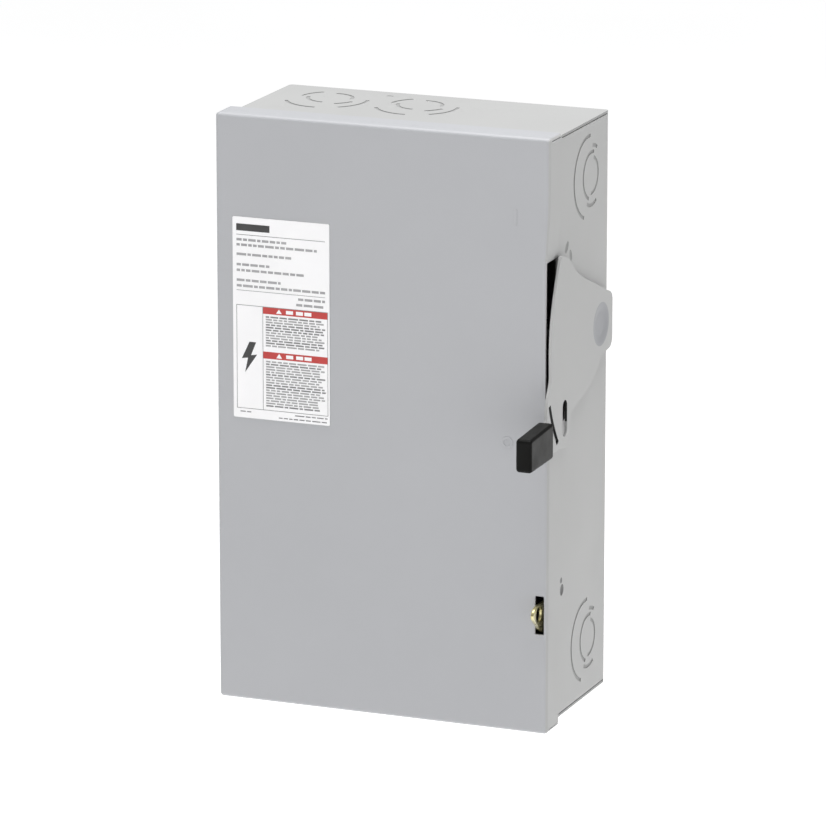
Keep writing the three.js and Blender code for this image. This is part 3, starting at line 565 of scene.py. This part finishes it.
def label_print():
    rng = random.Random(7)
    red, black, white, dim, pale = 0, 1, 2, 3, 4
    bm = bmesh.new()
    y0, y1 = INK_FRONT, INK_BACK

    def bar(x0, x1, z0, z1, slot, lift=0.0):
        add_box(bm, x0, x1, y0 - lift, y1 - lift, z0, z1, slot)

    bar(-93.8, -72.0, 111.6, 115.9, black)
    bar(-93.8, -35.9, 109.0, 109.35, dim)
    lines = [(106.1, -61.1), (102.9, -41.2), (97.1, -57.9), (90.7, -72.2), (87.2, -49.8), (81.1, -64.9),
             (77.6, -35.9)]
    for z, x1 in lines:
        text_bar(bm, rng, -93.7, x1, z, 1.5, pale)
    bar(-93.8, -35.9, 74.65, 74.95, dim)
    text_bar(bm, rng, -53.5, -36.0, 72.2, 1.5, pale)
    text_bar(bm, rng, -54.8, -36.4, 68.7, 1.5, pale)
    for z in (1.4, 65.5):
        bar(-94.0, -34.2, z, z + 0.35, dim)
    for x in (-94.0, -76.9, -34.5):
        bar(x, x + 0.35, 1.4, 65.8, dim)
    for z0, z1 in ((61.4, 65.5), (33.7, 38.0)):
        bar(-76.6, -34.5, z0, z1, red)
        mid = (z0 + z1) / 2
        triangle = [(-68.0, z0 + 0.8), (-64.2, z0 + 0.8), (-66.1, z1 - 0.6)]
        add_prism(bm, triangle, "y", y0 - 0.03, y1 - 0.03, white)
        for x in (-61.5, -55.0, -49.5):
            bar(x, x + 4.6, mid - 1.1, mid + 1.1, white, 0.03)
    for top, bottom in ((59.6, 40.2), (31.9, 3.6)):
        z = top
        while z > bottom:
            text_bar(bm, rng, -74.8, rng.uniform(-40, -35.4), z, 0.95, pale if rng.random() < 0.6 else dim)
            z -= 1.62
    text_bar(bm, rng, -91.8, -84.7, -0.5, 0.7, dim)
    text_bar(bm, rng, -55.9, -34.6, -0.2, 0.7, dim)
    text_bar(bm, rng, -66.6, -34.7, -2.6, 0.7, dim)
    bolt = [(-85.6, 43.2), (-90.6, 32.6), (-86.6, 33.2), (-88.6, 24.0), (-80.6, 35.6), (-84.6, 34.9),
            (-81.2, 43.2)]
    add_prism(bm, bolt, "y", y0, y1, black)
    obj = to_object("label_print", bm)
    piece(obj, "cover", [RED_INK, BLACK_INK, FILM, GREY_INK, PALE_INK])


# ------------------------------------------------------------------ lever, grip and hasp
LEVER_TOP = [(-15.3, 72.3), (-25.8, 76.8), (-36.4, 81.0), (-46.8, 85.0), (-57.2, 89.4), (-64.0, 92.8),
             (-69.0, 96.1), (-73.5, 99.8), (-78.2, 103.5), (-83.0, 106.5), (-88.1, 108.5), (-92.0, 109.4)]
LEVER_RIM = [(-94.0, 109.3), (-95.1, 107.9), (-97.4, 102.6), (-100.3, 95.6), (-103.4, 88.0), (-106.0, 80.3),
             (-108.3, 71.5), (-109.5, 63.0), (-110.0, 54.0), (-109.9, 46.0), (-109.6, 39.5)]
LEVER_NECK = [(-110.0, 36.6), (-111.2, 33.6), (-113.1, 30.4), (-115.2, 26.9), (-116.3, 21.0), (-117.2, 15.4)]


HUB_FLOOR, HUB_MOUTH, HUB_DEPTH = 6.5, 13.5, 1.1
SLIT_TURN = (199.5, 217.8)
SLOT_Y, SLOT_R, SLOT_LOW, SLOT_HIGH = -86.4, 3.79, 1.4, 16.2


def lever_outline():
    """Hub, long top edge, rim round the pivot, neck down to the grip, and the tail under the hub."""
    points = arc(-11.3, 64.2, 6.3, 0, 68, 10) + LEVER_TOP + LEVER_RIM + LEVER_NECK
    points += [(-119, 13.4), (-119, 8.5), (-149, 8.5), (-149, -3.5), (-119, -3.5), (-119, -6.5)]
    points += arc(-84, -1.5, 8, 270, 360, 12)
    points += [(-76, 8)] + arc(-73.5, 8, 2.5, 180, 106, 6) + [(-44, 18.5)]
    points += [(-44 + 16 * t, 18.5 + 11.5 * t * t * 0.55 + 5.2 * t) for t in (0.25, 0.5, 0.75, 1.0)]
    points += [(-22, 33.4)] + arc(-11.3, 41, 6.3, 285, 360, 10)
    return points


def dish(bm, x, grow, cap):
    """The hub's pan, as a turned body from its floor at x outwards."""
    profile = [(0, 0), (0, HUB_FLOOR + grow)]
    for i in range(1, 9):
        t = i / 8
        radius = HUB_FLOOR + grow + (HUB_MOUTH - HUB_FLOOR) * t
        profile.append((HUB_DEPTH * t * t * (3 - 2 * t), radius))
    profile += [(HUB_DEPTH + cap, HUB_MOUTH + grow), (HUB_DEPTH + cap, 0)]
    add_lathe(bm, profile, (x, PIVOT_Y, PIVOT_Z))


def lever():
    bm = bmesh.new()
    add_prism(bm, lever_outline(), "x", *LEVER_X)
    obj = to_object("lever_plate", bm)
    hub = bmesh.new()
    dish(hub, LEVER_X[0] - HUB_DEPTH, 0.9, 0.4)
    cut(obj, hub, "UNION")
    holes = bmesh.new()
    dish(holes, LEVER_X[1] - HUB_DEPTH, 0.0, 0.6)
    cut(obj, holes)
    holes = bmesh.new()
    add_prism(holes, band(PIVOT_Y, PIVOT_Z, SLIT_R, *SLIT_TURN, SLIT_W), "x", 107, 111)
    slot = (arc(SLOT_Y, SLOT_HIGH, SLOT_R, 0, 180, 16) + [(SLOT_Y - SLOT_R, 6.0)]
            + arc(SLOT_Y, SLOT_LOW, SLOT_R, 180, 360, 16) + [(SLOT_Y + SLOT_R, 6.0)])
    add_prism(holes, slot, "x", 107, 111)
    cut(obj, holes)
    soften(obj, 0.45, 3, 40)

    def from_pivot(c):
        return math.dist((c.y, c.z), (PIVOT_Y, PIVOT_Z))

    def in_slit(c):
        return (abs(from_pivot(c) - SLIT_R) < SLIT_W / 2 + 0.1 and -8 < c.z < 26 and -114 < c.y < -93)

    def in_slot(c):
        return -90.6 < c.y < -82.2 and 5 < c.z < 20.2

    # The hub dish's outer faces take the darker grey: painted shade.
    mark_faces(obj, 1, lambda c, n: from_pivot(c) < HUB_MOUTH - 0.1 and n.x > 0.5)
    # The slit's and slot's walls take the near-black: painted shade.
    mark_faces(obj, 2, lambda c, n: abs(n.x) < 0.6 and (in_slit(c) or in_slot(c)))
    return piece(obj, "handle", [CASE_PAINT, HUB_PAINTED_SHADE, SLIT_PAINTED_SHADE], ["handle_lever"],
                 smooth=38)


GRIP_X, GRIP_BACK, GRIP_ROUND = (104.7, 114.7), -118.2, 2.4
TANG_X = (107.6, 110.0)
HASP_X, HASP_EYE, HASP_EYE_R = (100.6, 102.6), (-109.6, -108), 4.7


def grip():
    outline = ([(GRIP_BACK, -7.7), (GRIP_BACK, 14.0)] + [(-153.4, 12.2)]
               + arc(-153.6, 9.8, GRIP_ROUND, 90, 180, 5) + arc(-153.6, -5.8, GRIP_ROUND, 180, 262, 5))
    bm = bmesh.new()
    add_prism(bm, outline, "x", *GRIP_X)
    obj = to_object("grip_body", bm)
    soften(obj, 2.0, 5, 25)
    pocket = bmesh.new()
    add_box(pocket, *TANG_X, -149.3, -117, -3.8, 8.8)
    cut(obj, pocket)
    throat = bmesh.new()
    add_box(throat, *TANG_X, -119.3, -117, -8, 14)
    cut(obj, throat)
    # The grip's front face and bevels take the darker black: painted shade.
    mark_faces(obj, 1, lambda c, n: n.y < -0.9 or max(abs(n.x), abs(n.y), abs(n.z)) < 0.97)
    return piece(obj, "handle", [GRIP, GRIP_PAINTED_SHADE], ["handle_grip"], smooth=40)


HASP_OUTLINE = [(-78, -124), (-78, -101.6), (-112, -101.9), (-115.6, -102.7), (-118, -104.3), (-119, -106.6),
                (-118.3, -108.8), (-115.7, -111.3), (-108.9, -117), (-104.5, -119.9), (-98, -123.2)]


def hasp():
    bm = bmesh.new()
    add_prism(bm, HASP_OUTLINE, "x", *HASP_X)
    obj = to_object("hasp_ear", bm)
    hole = bmesh.new()
    add_prism(hole, arc(*HASP_EYE, HASP_EYE_R, 0, 360, 40), "x", 99, 104)
    cut(obj, hole)
    soften(obj, 0.45, 3, 40)
    return piece(obj, "case", [ZINC], ["padlock_hasp"], smooth=40)


# ------------------------------------------------------------------ mechanism
def torsion_spring():
    """Four coils round the shaft with a 1 mm lead at the start, in place of the CAD's ring."""
    curve = bpy.data.curves.new("spring_wire", "CURVE")
    curve.dimensions = "3D"
    curve.bevel_depth = 0.62 * MM
    curve.bevel_resolution = 3
    radius, x0, x1, turns, per = 7.9, 89.4, 94.6, 4, 28
    points = [(x0, PIVOT_Y + radius, PIVOT_Z - 1.0)]
    for i in range(turns * per + 1):
        t = 2 * math.pi * i / per
        points.append((x0 + (x1 - x0) * i / (turns * per), PIVOT_Y + radius * math.cos(t),
                       PIVOT_Z + radius * math.sin(t)))
    spline = curve.splines.new("POLY")
    spline.points.add(len(points) - 1)
    for point, co in zip(spline.points, points):
        point.co = (*[c * MM for c in co], 1)
    curve.use_fill_caps = True
    wire = bpy.data.objects.new("spring_wire", curve)
    bpy.context.scene.collection.objects.link(wire)
    graph = bpy.context.evaluated_depsgraph_get()
    mesh = bpy.data.meshes.new_from_object(wire.evaluated_get(graph))
    bpy.data.objects.remove(wire)
    obj = bpy.data.objects.new("torsion_coil", mesh)
    bpy.context.scene.collection.objects.link(obj)
    return piece(obj, "case", [STEEL], ["operating_spring"], smooth=60)


# ------------------------------------------------------------------ CAD nodes that stay
def dress(name, material, width, segments=2):
    """A CAD solid whose shape is right: its material, welded corners and broken edges."""
    obj = nodes[name]
    obj.data.materials.clear()
    obj.data.materials.append(material)
    for polygon in obj.data.polygons:
        polygon.use_smooth = True
    weld = obj.modifiers.new("weld", "WELD")
    weld.merge_threshold = 0.00001
    edge = obj.modifiers.new("edges", "BEVEL")
    edge.width = width * MM
    edge.segments = segments
    edge.limit_method = "ANGLE"
    edge.angle_limit = math.radians(35)
    edge.harden_normals = True
    flat = obj.modifiers.new("normals", "WEIGHTED_NORMAL")
    flat.weight = 100
    flat.keep_sharp = True


STAYING = [
    (STEEL, 0.25, ["hinge_leaf_upper", "hinge_leaf_lower", "hinge_pin_upper", "hinge_pin_lower",
                   "cover_knuckle_upper", "cover_knuckle_lower", "handle_shaft", "drive_crank", "drive_link",
                   "rotor_arm", "line_screw_left", "line_screw_right", "load_screw_left", "load_screw_right",
                   "switch_base_screw_left", "switch_base_screw_right", "fuse_base_screw_left",
                   "fuse_base_screw_right", "neutral_screw_upper", "neutral_screw_lower", "ground_screw"]),
    (ZINC, 0.3, ["shaft_bushing", "mechanism_bracket"]),
    (COPPER, 0.25, ["blade_left", "blade_right", "line_jaw_left", "line_jaw_right", "load_jaw_left",
                    "load_jaw_right", "fuse_clip_upper_left", "fuse_clip_upper_right", "fuse_clip_lower_left",
                    "fuse_clip_lower_right"]),
    (ALUMINIUM, 0.4, ["line_lug_left", "line_lug_right", "load_lug_left", "load_lug_right", "neutral_bar",
                      "ground_lug"]),
    (MOULDING, 0.7, ["switch_base", "fuse_base", "neutral_insulator"]),
    (RED_MOULDING, 0.6, ["rotor_bar"]),
]


# ------------------------------------------------------------------ stage, light and camera
def stage():
    mat, nt, bsdf = new_material("pale_floor")
    bsdf.inputs["Roughness"].default_value = 0.9
    nt.links.new(ramp(nt, noise(nt, 3.0), [(0.4, (0.54, 0.54, 0.54)), (0.6, (0.56, 0.56, 0.56))]),
                 bsdf.inputs["Base Color"])
    bsdf.inputs["Emission Color"].default_value = (1, 1, 1, 1)
    bsdf.inputs["Emission Strength"].default_value = 0.80
    bm = bmesh.new()
    bmesh.ops.create_grid(bm, x_segments=1, y_segments=1, size=30000)
    bmesh.ops.translate(bm, verts=bm.verts, vec=(0, 0, -320))
    floor = to_object("floor", bm)
    floor.data.materials.append(mat)


def area(name, place, target, size, watts, colour=(1, 1, 1)):
    data = bpy.data.lights.new(name, "AREA")
    data.shape = "RECTANGLE"
    data.size, data.size_y = size
    data.energy = watts
    data.color = colour
    obj = bpy.data.objects.new(name, data)
    bpy.context.scene.collection.objects.link(obj)
    obj.location = place
    aim = Vector(target) - Vector(place)
    obj.rotation_euler = aim.to_track_quat("-Z", "Y").to_euler()


def lights():
    world = bpy.data.worlds.new("studio")
    bpy.context.scene.world = world
    world.use_nodes = True
    background = world.node_tree.nodes["Background"]
    background.inputs["Color"].default_value = (0.985, 0.99, 1.0, 1)
    background.inputs["Strength"].default_value = 0.28
    area("top_box", (0.1, -0.15, 1.5), (0, -0.05, 0), (1.3, 1.1), 30)
    area("front_low", (-0.35, -1.7, -0.13), (0, 0, -0.14), (1.3, 0.36), 1.8, (1.0, 1.0, 1.0))
    area("right_side", (1.9, -1.0, -0.05), (0.1, -0.05, 0), (0.9, 0.5), 1.36, (1.0, 0.99, 0.95))


YAW, PITCH = math.radians(21.98), math.radians(14.4)
DISTANCE, TARGET, FOCAL_PX, SENSOR, WIDTH_PX = 3.7625, (-0.02306, 0.0, -0.02123), 6077.0, 36.0, 826.0


def camera():
    data = bpy.data.cameras.new("camera")
    data.sensor_width = SENSOR
    data.lens = FOCAL_PX / WIDTH_PX * SENSOR
    data.clip_end = 100
    cam = bpy.data.objects.new("camera", data)
    bpy.context.scene.collection.objects.link(cam)
    ahead = Vector((-math.sin(YAW) * math.cos(PITCH), math.cos(YAW) * math.cos(PITCH), -math.sin(PITCH)))
    cam.location = Vector(TARGET) - ahead * DISTANCE
    cam.rotation_euler = ahead.to_track_quat("-Z", "Y").to_euler()
    bpy.context.scene.camera = cam


camera()
lights()
stage()
case_wrap()
end_cap("end_cap_top", 1)
end_cap("end_cap_bottom", -1)
cover()
marks()
label()
label_print()
lever()
grip()
hasp()
torsion_spring()
for material, width, names in STAYING:
    for name in names:
        dress(name, material, width)

bpy.context.scene.view_settings.view_transform = "Standard"
bpy.context.scene.view_settings.look = "None"
